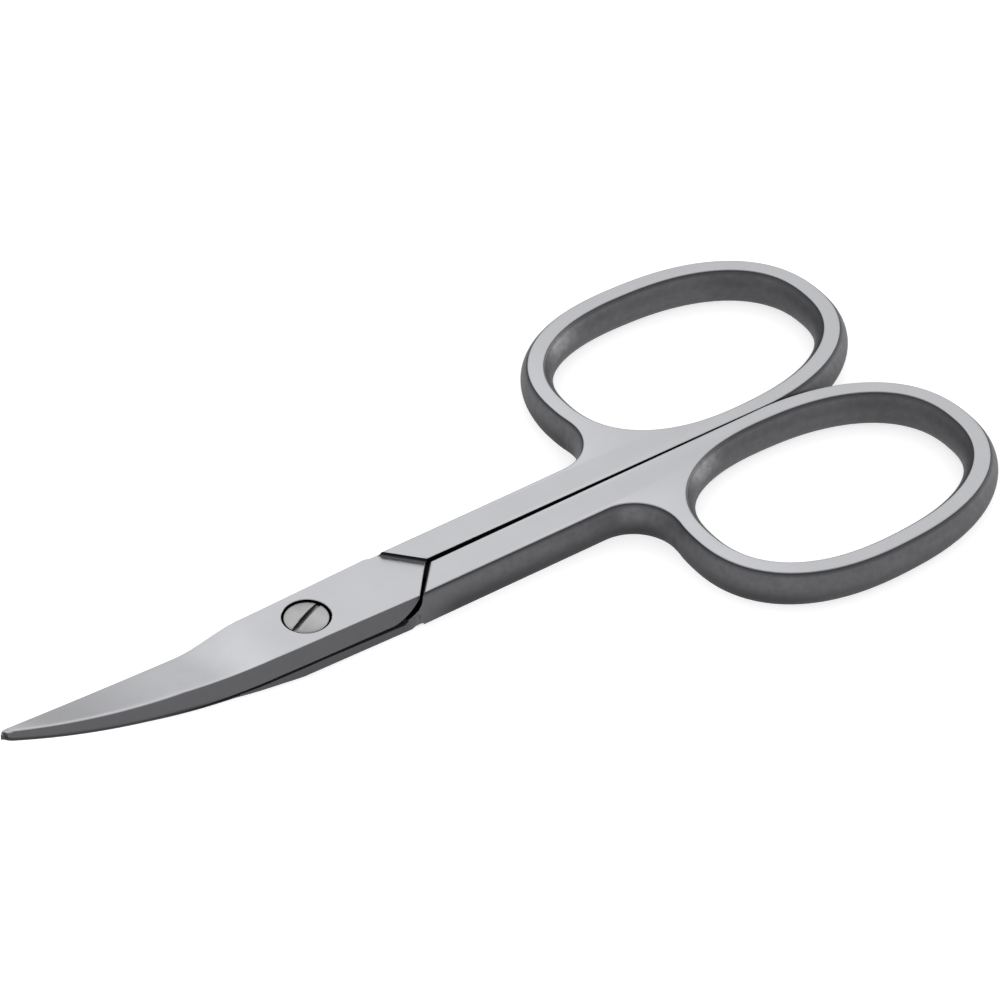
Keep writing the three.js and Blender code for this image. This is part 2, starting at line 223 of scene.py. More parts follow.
class FinishColours(PropertyGroup):
    """Colours of the steel, and of the shade and highlights painted on it"""

    ground: colour("Ground face", "Satin ground flat faces", (0.63, 0.634, 0.654))
    ground_low: colour("Ground face, low", "Darker streaks of the ground faces", (0.58, 0.584, 0.604))
    # Painted shade on the ground faces towards the tip, which stands in for reflections
    tip: colour("Blade tip", "Darkest tone of the ground faces, as at the tip", (0.42, 0.422, 0.436))
    # Partly the forged sides' matte finish and partly painted shade: the sides are much darker than the flats
    # whichever way they face
    forged: colour("Forged side", "Matte sides of the forgings", (0.172, 0.172, 0.181))
    forged_low: colour("Forged side, low", "Darker speckle of the sides", (0.136, 0.136, 0.144))
    # A painted highlight in the rings' tight curves, where they catch the light
    worn: colour("Worn side", "Sides worn bright in the tight curves", (0.36, 0.36, 0.372))
    # Painted shade on the sides close to the flat faces
    edge_shade: colour("Forged side, edge", "Sides close to the flat faces", (0.05, 0.05, 0.055))
    # Painted shade: near black for the walls of the gaps, the groove's line, the nose, the lower blade's side
    # and the screw's seat and slot
    painted_shade: colour("Recess", "Walls of the gaps and of the screw's seat", (0.012, 0.012, 0.013))
    screw: colour("Screw head", "Face of the screw", (0.47, 0.47, 0.475))


class StudioSizes(PropertyGroup):
    """Camera of the studio"""

    heading: turn("Heading", "Turn of the camera about the scissors", -34.87)
    elevation: turn("Elevation", "Height of the camera above the horizon", 40.84)
    camera_range: length("Camera range", "From the camera to the point that it looks at", 406.07)
    lens: share("Lens", "Focal length in millimetres on a 36 mm sensor", 171.59)
    aim_x: length("Aim along", "From the joint's middle to the point that the camera looks at, along", 21.625)
    aim_y: length("Aim across", "From the joint's middle to the point that the camera looks at, across", 2.92)


class ScissorSettings(PropertyGroup):
    """All sizes and colours of the scissors"""

    handle: PointerProperty(type=HandleSizes)
    joint: PointerProperty(type=JointSizes)
    blade: PointerProperty(type=BladeSizes)
    screw: PointerProperty(type=ScrewSizes)
    finish: PointerProperty(type=FinishColours)
    studio: PointerProperty(type=StudioSizes)


# Meshes


def mesh_piece(name, points, faces):
    """An object with a closed mesh, its faces turned outwards."""
    mesh = bpy.data.meshes.new(name)
    mesh.from_pydata([tuple(point) for point in points], [], faces)
    work = bmesh.new()
    work.from_mesh(mesh)
    bmesh.ops.recalc_face_normals(work, faces=work.faces)
    work.to_mesh(mesh)
    work.free()
    piece = bpy.data.objects.new(name, mesh)
    bpy.context.scene.collection.objects.link(piece)
    return piece


def settle(piece):
    """Makes a piece's modifiers part of its mesh."""
    depsgraph = bpy.context.evaluated_depsgraph_get()
    mesh = bpy.data.meshes.new_from_object(piece.evaluated_get(depsgraph))
    old = piece.data
    piece.modifiers.clear()
    piece.data = mesh
    bpy.data.meshes.remove(old)


def carve(piece, tool, operation):
    """Joins, cuts or trims a piece with a tool shape, and deletes the tool."""
    modifier = piece.modifiers.new("carve", "BOOLEAN")
    modifier.operation = operation
    modifier.solver = "MANIFOLD"
    modifier.object = tool
    settle(piece)
    tool_mesh = tool.data
    bpy.data.objects.remove(tool)
    bpy.data.meshes.remove(tool_mesh)
    if not piece.data.polygons:
        raise RuntimeError(f"{piece.name} has nothing left after a cut")


def loft(name, rings):
    """A closed piece through equal rings of points, with a flat cap on each end."""
    count = len(rings[0])
    faces = []
    for ring in range(len(rings) - 1):
        for side in range(count):
            here = ring * count + side
            after = ring * count + (side + 1) % count
            faces.append((here, after, after + count, here + count))
    last = (len(rings) - 1) * count
    faces.append(tuple(range(count)))
    faces.append(tuple(range(last, last + count)))
    return mesh_piece(name, np.concatenate(rings), faces)


def lathe(name, profile, axis_x, axis_y):
    """A closed piece turned about an upright axis, from (radius, height) points that start and end on it."""
    middle = profile[1:-1]
    points = [(axis_x, axis_y, profile[0][1])]
    for radius, height in middle:
        for step in range(ROUND_STEPS):
            angle = 2 * math.pi * step / ROUND_STEPS
            points.append((axis_x + radius * math.cos(angle), axis_y + radius * math.sin(angle), height))
    points.append((axis_x, axis_y, profile[-1][1]))
    faces = []
    for step in range(ROUND_STEPS):
        after = (step + 1) % ROUND_STEPS
        faces.append((0, 1 + step, 1 + after))
        for level in range(len(middle) - 1):
            low = 1 + level * ROUND_STEPS
            faces.append((low + step, low + after, low + ROUND_STEPS + after, low + ROUND_STEPS + step))
        top = 1 + (len(middle) - 1) * ROUND_STEPS
        faces.append((top + step, top + after, len(points) - 1))
    return mesh_piece(name, points, faces)


def arc(centre_x, centre_y, radius, first, last, steps):
    """Points of an arc from one angle to another."""
    angles = np.linspace(first, last, steps + 1)
    return [(centre_x + radius * math.cos(angle), centre_y + radius * math.sin(angle)) for angle in angles]


def corner_curve(start, corner, end, steps):
    """Points of a curve that leaves its start and reaches its end along the two sides of a corner."""
    parts = [step / steps for step in range(steps + 1)]
    return [(1 - part) ** 2 * start + 2 * part * (1 - part) * corner + part**2 * end for part in parts]


def v_block(name, profile, angle, low_y, high_y):
    """A block with one profile square to a branch of the V, run along the branch between two planes of Y."""
    away, height = np.array(profile).T
    rings = []
    for y in (low_y, high_y):
        x = (away - y * math.sin(angle)) / math.cos(angle)
        rings.append(np.stack([x, np.full_like(x, y), height], axis=1))
    return loft(name, rings)


def soften(piece, width, limit, chosen):
    """Rounds the sharp convex edges that a test of their middle chooses, within a limit above and below."""
    work = bmesh.new()
    work.from_mesh(piece.data)
    bmesh.ops.remove_doubles(work, verts=work.verts, dist=MERGE)
    edges = []
    for edge in work.edges:
        middle = (edge.verts[0].co + edge.verts[1].co) / 2
        sharp = edge.is_manifold and edge.is_convex and edge.calc_face_angle(0) > ROUNDED_TURN
        if sharp and chosen(middle):
            edges.append(edge)
    bmesh.ops.bevel(
        work, geom=edges, offset=width, offset_type="OFFSET", segments=2, profile=0.5, affect="EDGES",
        clamp_overlap=False,
    )
    for vertex in work.verts:
        if chosen(vertex.co):
            vertex.co.z = min(max(vertex.co.z, -limit), limit)
    work.to_mesh(piece.data)
    work.free()


# Handle: finger ring and shank, on the +Y side of the seam

# Where on the ring its outer side is flattest, over how much of a turn, and by how much of its swell
FLAT_TURN = 1.05 * math.pi
FLAT_SPREAD = 0.2 * math.pi
FLAT_SHARE = 0.5

# A side faces the seam if it swells this much towards it
SEAM_FACING = -0.02

# From the step's wall to the end of the blade's root inside the shank
SHANK_SINK = 0.35 * MM


def opening_edge(handle, angles):
    """The ring opening's edge about its middle: a superellipse that narrows a little towards its far end."""
    along = np.abs(np.cos(angles)) / (handle.opening_length / 2)
    across = np.abs(np.sin(angles)) / (handle.opening_width / 2)
    reach = (along**handle.squareness + across**handle.squareness) ** (-1 / handle.squareness)
    x = reach * np.cos(angles)
    y = reach * np.sin(angles) * (1 - handle.taper * x / (handle.opening_length / 2))
    return np.stack([x, y], axis=-1)


def ring_edge(handle, angles, band):
    """Points at a distance outside the ring opening, where the outer edge of the band touches the seam."""
    angles = np.asarray(angles, float)
    tangent = opening_edge(handle, angles + TANGENT_TURN) - opening_edge(handle, angles - TANGENT_TURN)
    normal = np.stack([tangent[..., 1], -tangent[..., 0]], axis=-1)
    normal /= np.linalg.norm(normal, axis=-1, keepdims=True)
    widest = -opening_edge(handle, np.linspace(0, 2 * math.pi, RING_STEPS))[:, 1].min()
    middle = np.array([handle.ring_middle, handle.seam_at_rings / 2 - OVERLAP + widest + handle.band])
    return middle + opening_edge(handle, angles) + band * normal, normal


def seam_edge(settings, x):
    """Distance from the middle of the seam to a handle's flat seam face."""
    handle = settings.handle
    ends = [settings.joint.step_apex, handle.ring_middle]
    return np.interp(x, ends, [handle.seam_at_joint / 2, handle.seam_at_rings / 2])


def fillet_angle(handle):
    """The angle on the ring where the fillet from the shank's outer edge runs into it."""
    high = math.pi
    low = 3 * RIGHT_ANGLE
    for _ in range(SEARCH_PASSES):
        middle = (high + low) / 2
        centre = ring_edge(handle, middle, handle.band + handle.fillet)[0]
        if centre[1] > handle.shank_edge + handle.fillet:
            high = middle
        else:
            low = middle
    return high


def handle_outline(settings, start_x):
    """Outline of the handle's flat face, anticlockwise: seam, ring, fillet and shank, run past the joint."""
    handle = settings.handle
    end = fillet_angle(handle)
    ring = ring_edge(handle, np.linspace(-RIGHT_ANGLE, end, RING_STEPS), handle.band)[0]
    ring[:, 1] = np.maximum(ring[:, 1], seam_edge(settings, ring[:, 0]))
    centre, normal = ring_edge(handle, end, handle.band + handle.fillet)
    first = math.atan2(-normal[1], -normal[0])
    fillet = np.array(arc(*centre, handle.fillet, first, -RIGHT_ANGLE, FILLET_STEPS)[1:])
    seam_x = np.linspace(settings.joint.step_apex, handle.ring_middle, SHANK_STEPS + 1)[:-1]
    seam_x = np.concatenate([[start_x], seam_x])
    seam = np.stack([seam_x, seam_edge(settings, seam_x)], axis=1)
    shank_x = np.linspace(fillet[-1, 0], start_x, SHANK_STEPS + 1)[1:]
    shank = np.stack([shank_x, np.full_like(shank_x, handle.shank_edge)], axis=1)
    return np.concatenate([seam, ring, fillet, shank])


def swell_directions(outline):
    """The way that each point of a closed outline moves when the outline swells by one."""
    along = np.roll(outline, -1, axis=0) - outline
    normal = np.stack([along[:, 1], -along[:, 0]], axis=1)
    normal /= np.linalg.norm(normal, axis=1, keepdims=True)
    before = np.roll(normal, 1, axis=0)
    return (before + normal) / (1 + np.sum(before * normal, axis=1, keepdims=True))


def side_profile(handle, belly):
    """Swell and height of a side, from a strip of the top face to one of the bottom face, for each belly."""
    half = handle.thickness / 2
    corner = handle.edge_round
    radius = (half**2 + belly**2) / (2 * belly)
    reach = np.sqrt((radius - corner) ** 2 - (half - corner) ** 2)
    blend = np.arctan2(half - corner, reach)
    swell = [np.full_like(belly, -handle.face_margin)]
    height = [np.full_like(belly, half)]
    for step in range(CORNER_STEPS + 1):
        angle = RIGHT_ANGLE + (blend - RIGHT_ANGLE) * step / CORNER_STEPS
        swell.append(belly - radius + reach + corner * np.cos(angle))
        height.append(half - corner + corner * np.sin(angle))
    for step in range(1, BELLY_STEPS + 1):
        angle = blend * (1 - step / BELLY_STEPS)
        swell.append(belly - radius + radius * np.cos(angle))
        height.append(radius * np.sin(angle))
    swell = swell + swell[-2::-1]
    height = height + [-level for level in height[-2::-1]]
    return np.array(swell), np.array(height)


def side_bellies(handle, outer_count, opening_angles):
    """Swell of the sides at half height, for each point of the outline and then of the opening."""
    ring_first = SHANK_STEPS + 1
    shank_first = outer_count - SHANK_STEPS
    ring_angles = np.linspace(-RIGHT_ANGLE, fillet_angle(handle), RING_STEPS)
    flattened = np.exp(-(((ring_angles - FLAT_TURN) / FLAT_SPREAD) ** 2))
    outer = np.full(outer_count, handle.shank_belly)
    outer[ring_first : ring_first + RING_STEPS] = handle.belly * (1 - FLAT_SHARE * flattened)
    outer[shank_first:] = np.linspace(handle.shank_belly, handle.joint_belly, SHANK_STEPS + 1)[1:]
    inner = handle.belly + handle.nest_belly * np.maximum(0, -np.cos(opening_angles)) ** 2
    return np.concatenate([outer, inner])


def handle_slab(settings, start_x):
    """The handle as a slab with rounded edges, whose sides swell in an arc except along the seam."""
    handle = settings.handle
    outline = handle_outline(settings, start_x)
    angles = -np.linspace(0, 2 * math.pi, RING_STEPS, endpoint=False)
    opening = ring_edge(handle, angles, 0)[0]
    plan = np.concatenate([outline, opening])
    directions = np.concatenate([swell_directions(outline), swell_directions(opening)])
    swell, height = side_profile(handle, side_bellies(handle, len(outline), angles))
    outer = np.arange(len(plan)) < len(outline)
    facing = np.minimum(directions[:, 1], SEAM_FACING)
    room = (plan[:, 1] - seam_edge(settings, plan[:, 0])) / -facing
    swell = np.where(outer & (directions[:, 1] < SEAM_FACING), np.minimum(swell, room), swell)
    levels = len(swell)
    points = np.empty((levels, len(plan), 3))
    points[:, :, :2] = plan + swell[:, :, None] * directions
    points[:, :, 2] = height
    faces = []
    for level in range(levels - 1):
        for first, count in ((0, len(outline)), (len(outline), len(opening))):
            for index in range(count):
                here = level * len(plan) + first + index
                after = level * len(plan) + first + (index + 1) % count
                faces.append((here, after, after + len(plan), here + len(plan)))
    flat = [Vector((x, y, 0)) for x, y in points[0, :, :2]]
    last = (levels - 1) * len(plan)
    for a, b, c in tessellate_polygon([flat[: len(outline)], flat[len(outline) :]]):
        faces.append((a, b, c))
        faces.append((last + a, last + b, last + c))
    return mesh_piece("handle", points.reshape(-1, 3), faces)


def face_height(settings):
    """Height of the outer face at the blade's root."""
    return settings.handle.thickness / 2 - settings.joint.face_step


def root_radius(settings):
    """Radius of the root's end, an arc from the inner face to the outer one."""
    joint = settings.joint
    rise = face_height(settings) - joint.blade_gap / 2
    run = joint.root_top - joint.root_start
    return (run**2 + rise**2) / (2 * rise)


def shank_space(settings, bend):
    """The space of a half's shank: a hollow step on the outer face, a rounded shoulder on the inner one."""
    joint = settings.joint
    half = settings.handle.thickness / 2
    inner = joint.blade_gap / 2
    face = face_height(settings)
    wall = joint.shoulder_apex * math.cos(joint.angle)
    step_wall = joint.step_apex * math.cos(joint.angle)
    shoulder = joint.shoulder_radius
    rim = joint.rim_round
    edge = joint.edge_round if bend == UPPER else joint.under_round
    fillet = joint.step_fillet
    profile = [(wall - shoulder, inner + OVERLAP)]
    profile += arc(wall - shoulder, inner - shoulder, shoulder, RIGHT_ANGLE, 0, SHOULDER_STEPS)
    profile += arc(wall + rim, rim - half - SKIM, rim, math.pi, 3 * RIGHT_ANGLE, RIM_STEPS)
    profile += [(wall + rim, -OVERRUN), (FAR, -OVERRUN), (FAR, OVERRUN), (step_wall + edge, OVERRUN)]
    profile += arc(step_wall + edge, half + SKIM - edge, edge, RIGHT_ANGLE, math.pi, RIM_STEPS)
    profile += [(step_wall, z) for z in np.linspace(half - edge, face + fillet, WALL_STEPS + 1)[1:-1]]
    profile += arc(step_wall - fillet, face + fillet - SKIM, fillet, 0, -RIGHT_ANGLE, RIM_STEPS)
    profile.append((step_wall - fillet, inner + OVERLAP))
    return v_block("shank_space", profile, joint.angle, -OVERRUN, 2 * OVERRUN)


def root_room(settings):
    """The room that a half's root leaves for the other half's shoulder, on the other side of the seam."""
    joint = settings.joint
    inner = joint.blade_gap / 2
    rim = joint.rim_round
    radius = root_radius(settings)
    end = math.asin((joint.root_top - joint.root_start) / radius) - rim / radius - RIGHT_ANGLE
    before = joint.root_start - OVERLAP
    profile = [(before, -OVERRUN), (before, inner - OVERLAP)]
    profile += arc(joint.root_start, inner - SKIM + radius, radius, -RIGHT_ANGLE, end, SHOULDER_STEPS)
    corner = np.array([joint.root_top, face_height(settings) + SKIM])
    stop = corner - (rim, 0)
    profile += corner_curve(np.array(profile[-1]), corner, stop, RIM_STEPS)[1:]
    profile += [(stop[0], OVERRUN), (FAR, OVERRUN), (FAR, -OVERRUN)]
    return v_block("root_room", profile, -joint.root_angle, -OVERRUN, settings.handle.seam_at_joint / 2)


def shank_inside(settings):
    """Everything past the shank's end wall, from a little way inside the shank."""
    joint = settings.joint
    wall = joint.step_apex * math.cos(joint.angle) + SHANK_SINK
    profile = [(wall, -OVERRUN), (FAR, -OVERRUN), (FAR, OVERRUN), (wall, OVERRUN)]
    return v_block("shank_inside", profile, joint.angle, -OVERRUN, 2 * OVERRUN)


def corner_cut(settings):
    """The corner that is missing from the root's side where it meets the shank."""
    joint = settings.joint
    blade = settings.blade
    start = joint.corner_start
    run = joint.corner_run
    depth = joint.corner_depth
    edge = blade.edge_width + blade.root_flare * (blade.grind_start + start)
    plan = [(start + run, edge - depth), (start + OVERRUN, edge - depth), (start + OVERRUN, edge + OVERRUN)]
    plan += [(start - run, edge + OVERRUN), (start - run, edge + depth)]
    return loft("corner_cut", [np.array([(x, y, z) for x, y in plan]) for z in (-OVERRUN, OVERRUN)])


# Blade: spine on the -Y side, cutting edge on the +Y side, inner face down

# The groove between the blades, made by the root's rounded corner: the run to its end, how much wider it is
# there, and where along the blade it closes
GROOVE_RUN = 0.4 * MM
GROOVE_SWELL = 0.12 * MM
GROOVE_FADE = {UPPER: (5 * MM, 12 * MM), LOWER: (8 * MM, 20 * MM)}

# Roundings of the groove's corner where it is closed, the spine's foot and the cutting edge
CLOSED_ROUND = 0.02 * MM
SPINE_ROUND = 0.06 * MM
EDGE_ROUND = 0.03 * MM

# Share of the ridge's rounding that the root has, and where along the blade the rest comes in
ROOT_RIDGE = 0.4
RIDGE_FADE = (6 * MM, 16 * MM)

# The most of a section's side that a rounded corner takes
MOST_CUT = 0.4


def smooth(value, low, high):
    """Zero below low, one above high and a smooth step between."""
    part = np.clip((value - low) / (high - low), 0, 1)
    return part * part * (3 - 2 * part)


def blade_widths(settings, distance, bend):
    """Cutting edge, spine, ridge, land and thickness of the blade at distances from the joint's middle."""
    blade = settings.blade
    full = face_height(settings) - settings.joint.blade_gap / 2
    part = np.maximum(0, distance - blade.grind_start) / (blade.reach - blade.grind_start)
    flare = blade.root_flare * np.maximum(0, blade.grind_start - distance)
    thinning = np.clip((distance - blade.thinning_start) / (blade.reach - blade.thinning_start), 0, 1)
    nose = np.clip(1 - (blade.reach - distance) / blade.nose_length, 0, 1)
    thickness = full + (blade.tip_thickness - full) * thinning
    thickness = thickness + (blade.nose_thickness - thickness) * nose
    grind = smooth(distance, blade.grind_start, blade.grind_start + blade.grind_length)
    land = thickness + (blade.edge_land - thickness) * grind
    if bend == LOWER:
        places = [blade.under_start, blade.under_start + blade.under_length, blade.under_end]
        land = np.interp(distance, places, [full - blade.under_drop, blade.under_land, blade.edge_land])
    edge = blade.edge_width + (blade.tip_width - blade.edge_width) * part**blade.sweep + flare
    spine = edge + blade.overhang + (blade.tip_overhang - blade.overhang) * part
    ridge = spine - blade.slant * thickness
    rounding = 1 - np.sqrt(1 - nose**2)
    narrowing = 1 + (blade.nose_width / blade.tip_width - 1) * rounding
    return edge * narrowing, spine * narrowing, ridge * narrowing, land, thickness


def rounded_section(corners, cuts, splits):
    """A section's points from its corners: each corner is rounded, and each side after it split evenly."""
    count = len(corners)
    arcs = []
    for index in range(count):
        corner = corners[index]
        ends = []
        for other in (corners[index - 1], corners[(index + 1) % count]):
            reach = np.linalg.norm(other - corner, axis=1, keepdims=True)
            ends.append(corner + (other - corner) / reach * np.minimum(cuts[index], MOST_CUT * reach))
        arcs.append(corner_curve(ends[0], corner, ends[1], CORNER_STEPS))
    points = []
    for index in range(count):
        points += arcs[index]
        start = arcs[index][-1]
        end = arcs[(index + 1) % count][0]
        for step in range(1, splits[index]):
            points.append(start + (end - start) * step / splits[index])
    return np.array(points).transpose(1, 0, 2)


def blade_loft(settings, bend):
    """The whole blade with its root. It curves up for the upper half and down for the lower one."""
    blade = settings.blade
    inner = settings.joint.blade_gap / 2
    nose_start = blade.reach - blade.nose_length
    root_end = settings.joint.shoulder_apex + settings.handle.shank_edge
    groove = -settings.joint.groove_end
    nose = nose_start + blade.nose_length * np.sin(np.linspace(0, RIGHT_ANGLE, NOSE_STEPS + 1)[1:])
    body = np.linspace(blade.bend_start, nose_start, BLADE_STEPS)
    distance = np.concatenate([[-root_end, groove - GROOVE_RUN, groove, 0], body, nose])
    edge, spine, ridge, land, thickness = blade_widths(settings, distance, bend)
    low = np.full_like(distance, inner)
    corners = [
        np.stack([-spine, low], axis=1),
        np.stack([edge, low], axis=1),
        np.stack([edge, low + land], axis=1),
        np.stack([-ridge, low + thickness], axis=1),
    ]
    open_share = (1 - smooth(distance, *GROOVE_FADE[bend])) * smooth(distance, groove - GROOVE_RUN, groove)
    gap_round = CLOSED_ROUND + (blade.gap_round - CLOSED_ROUND) * open_share
    gap_round = gap_round + GROOVE_SWELL * (distance == groove)
    ridge_round = blade.ridge_round * (ROOT_RIDGE + (1 - ROOT_RIDGE) * smooth(distance, *RIDGE_FADE))
    cuts = [SPINE_ROUND, gap_round[:, None], EDGE_ROUND, ridge_round[:, None]]
    section = rounded_section(corners, cuts, SECTION_SPLITS)
    bent = np.maximum(0, distance - blade.bend_start) / blade.bend_radius
    flat = np.minimum(distance, blade.bend_start)
    rings = []
    for index in range(len(distance)):
        radius = blade.bend_radius - bend * section[index, :, 1]
        x = -flat[index] - radius * math.sin(bent[index])
        z = bend * (blade.bend_radius - radius * math.cos(bent[index]))
        rings.append(np.stack([x, section[index, :, 0], z], axis=1))
    return loft("blade", rings)


def half_piece(name, settings, bend):
    """One half without its hole for the screw, outer face up, ring on the +Y side."""
    joint = settings.joint
    overlap = joint.shoulder_radius + settings.handle.shank_edge + MM
    start_x = joint.step_apex - overlap / math.cos(joint.angle)
    piece = handle_slab(settings, start_x)
    piece.name = name
    carve(piece, shank_space(settings, bend), "INTERSECT")
    blade = blade_loft(settings, bend)
    carve(blade, root_room(settings), "DIFFERENCE")
    carve(blade, shank_inside(settings), "DIFFERENCE")
    carve(blade, corner_cut(settings), "DIFFERENCE")
    carve(piece, blade, "UNION")
    return piece


def seat_hole(settings, headed):
    """The hole for the screw: seat and bore in the upper half, a tapped hole in the lower one."""
    screw = settings.screw
    face = face_height(settings)
    chamfer = screw.seat_chamfer
    if headed:
        bore = screw.journal_radius + screw.journal_clearance
        seat = screw.head_radius + screw.head_clearance
        floor = face - screw.seat_depth
        profile = [(0, -OVERRUN), (bore, -OVERRUN), (bore, floor), (seat, floor), (seat, face - chamfer)]
        profile += [(seat + 2 * chamfer, face + chamfer), (seat + 2 * chamfer, OVERRUN), (0, OVERRUN)]
        return lathe("seat", profile, screw.shift, screw.offset)
    hole = screw.thread_radius + screw.thread_clearance
    profile = [(0, -OVERRUN), (hole, -OVERRUN), (hole, face - chamfer)]
    profile += [(hole + 2 * chamfer, face + chamfer), (hole + 2 * chamfer, OVERRUN), (0, OVERRUN)]
    return lathe("hole", profile, screw.shift, -screw.offset)


# Finish of the halves: marks that the steel's material reads, most of them painted shade and painted
# highlights. A pair is where a smooth step starts and ends. Places are from the joint's middle towards the
# rings, and those along the blade are towards its tip

# How level a ground face is, on the blade up to its limit and on the handle past it
BLADE_LIMIT = 2.5 * MM
BLADE_LEVEL = (0.62, 0.75)
HANDLE_LEVEL = (0.7, 0.92)

# Changes of the painted shade on the ground faces, which stands in for reflections, on the way from the dark
# tip to the rings
TONE_CHANGES = (
    (-1, -27 * MM, -11 * MM),
    (0.38, -8 * MM, -2 * MM),
    (-0.14, 13 * MM, 24 * MM),
    (0.37, 31 * MM, 40 * MM),
)

# Painted shade on the walls of the gaps: how much the step's painted shade fades to its foot, how square to Y
# a seam wall is and where it starts, and how dark it is towards its edges
STEP_FADE = 0.65
SEAM_SQUARE = -0.9
SEAM_START = 8 * MM
SEAM_DARK = 0.94
SEAM_EDGES = (0.7 * MM, 1.25 * MM)

# A line of painted shade in the groove between the blades: where it is wider, how far it runs past the
# groove's end, how level its faces are at most on the blade and on the root, how far up they look at most,
# and where along the blade the line fades
LINE_WIDER = (-1 * MM, 2 * MM)
LINE_MARGIN = 0.3 * MM
LINE_ROOT = 5 * MM
LINE_LEVEL = 0.97
LINE_ROOT_LEVEL = 0.9995
LINE_UPWARD = 0.2
LINE_FADE = {UPPER: (8 * MM, 12 * MM), LOWER: (10 * MM, 22 * MM)}

# Painted shade on the nose, on a patch at the lower half's end of the groove and on the side of its blade
NOSE_FACING = -0.55
NOSE_DARK = 0.6
PATCH_REACH = 0.75 * MM
PATCH_SIDE = 2.6 * MM
SIDE_LEVEL = 0.5
SIDE_DARK = 0.34
SIDE_FADE = (7.2 * MM, 9.4 * MM)

# Painted shade on the foot of the spine, by its height and where along the blade it starts, and along the
# edges of the handle, past its limit and by their height from the flat faces
FOOT_HEIGHT = (0.06 * MM, 0.2 * MM)
FOOT_START = (9 * MM, 15 * MM)
HANDLE_LIMIT = 9 * MM
EDGE_HEIGHT = (-0.4 * MM, -0.05 * MM)

# The painted highlight along the ridge: its width, where along the blade it starts, and the furthest that its
# line goes back
RIDGE_WIDTH = (0.05 * MM, 0.5 * MM)
RIDGE_START = (4 * MM, 12 * MM)
RIDGE_ROOT = -10 * MM

# The painted highlight inside a ring, by its turn about the opening's middle and its height, and the painted
# shade on the walls at the opening's two ends, by the cosine of their turn
SPOT_GLINT = 1.3
SPOT_TURN = 2.42
SPOT_SPREAD = 0.18
SPOT_HEIGHT = (-0.1 * MM, 1.1 * MM)
FAR_SHADE = 0.36
FAR_END = (0.55, 0.88)
NEAR_SHADE = 0.4
NEAR_END = (0.68, 0.9)

# The painted highlight in the fillet between shank and ring, by its share of the fillet's turn
FILLET_GLINT = 0.2
FILLET_PLACE = 0.3
FILLET_SPREAD = (0.05, 0.4)

# Painted shade low down on the sides, inside the openings and outside them, where the rings' far ends get
# less of it, and where the handle's painted shade on the sides starts
LOW_HEIGHT = (0.5 * MM, 3 * MM)
LOW_INSIDE = 0.2
LOW_OUTSIDE = 0.95
LOW_RELIEF = 0.25
LOW_RINGS = (34 * MM, 40 * MM)
SHADE_START = (9 * MM, 13 * MM)


def rise_above(settings, place, bend):
    """Heights above the blade's inner face, measured square to the bend."""
    blade = settings.blade
    across = place[:, 0] + blade.bend_start
    radius = np.hypot(across, place[:, 2] - bend * blade.bend_radius)
    height = np.where(across < 0, bend * (blade.bend_radius - radius), place[:, 2])
    return height - settings.joint.blade_gap / 2


def on_arc(across, up, radius):
    """Whether places measured from an arc's middle lie on the arc."""
    return np.abs(np.hypot(across, up) - radius) < NEARNESS


def gap_walls(settings, centre, normal, bend):
    """How dark the painted shade on the walls of gaps is: 1 at the joint and in the screw's seat, less at
    step and seam.
    """
    joint = settings.joint
    screw = settings.screw
    face = face_height(settings)
    inner = joint.blade_gap / 2
    x, y, z = centre.T
    near = x * math.cos(joint.root_angle) - y * math.sin(joint.root_angle)
    far = x * math.cos(joint.angle) + y * math.sin(joint.angle)
    radius = root_radius(settings)
    root_end = on_arc(near - joint.root_start, z - inner - radius, radius)
    root_end &= (near > joint.root_start + OVERLAP) & (y < settings.handle.seam_at_joint)
    radius = joint.shoulder_radius
    wall = joint.shoulder_apex * math.cos(joint.angle)
    shoulder = on_arc(far - wall + radius, z - inner + radius, radius)
    shoulder |= (np.abs(far - wall) < NEARNESS) & (z < inner - radius)
    shoulder &= (far > wall - radius + OVERLAP) & (z < inner)
    radius = joint.step_fillet
    wall = joint.step_apex * math.cos(joint.angle)
    step = np.abs(far - wall) < NEARNESS
    step |= on_arc(far - wall + radius, z - face - radius, radius) & (far > wall - radius)
    step &= (z > face) & (bend == UPPER)
    from_pivot = np.hypot(x - screw.shift, np.abs(y) - screw.offset)
    seat = from_pivot < screw.head_radius + screw.head_clearance + NEARNESS
    seat &= (z < face - NEARNESS) & (z > inner + NEARNESS)
    seam = np.abs(y - seam_edge(settings, x)) < NEARNESS
    seam &= (normal[:, 1] < SEAM_SQUARE) & (x > SEAM_START)
    depth = (settings.handle.thickness / 2 - z) / joint.face_step
    dark = np.where(step, 1 - STEP_FADE * depth, 0)
    dark = np.maximum(dark, np.where(seam, SEAM_DARK * smooth(np.abs(z), *SEAM_EDGES), 0))
    return np.where(root_end | shoulder | seat, 1, dark)


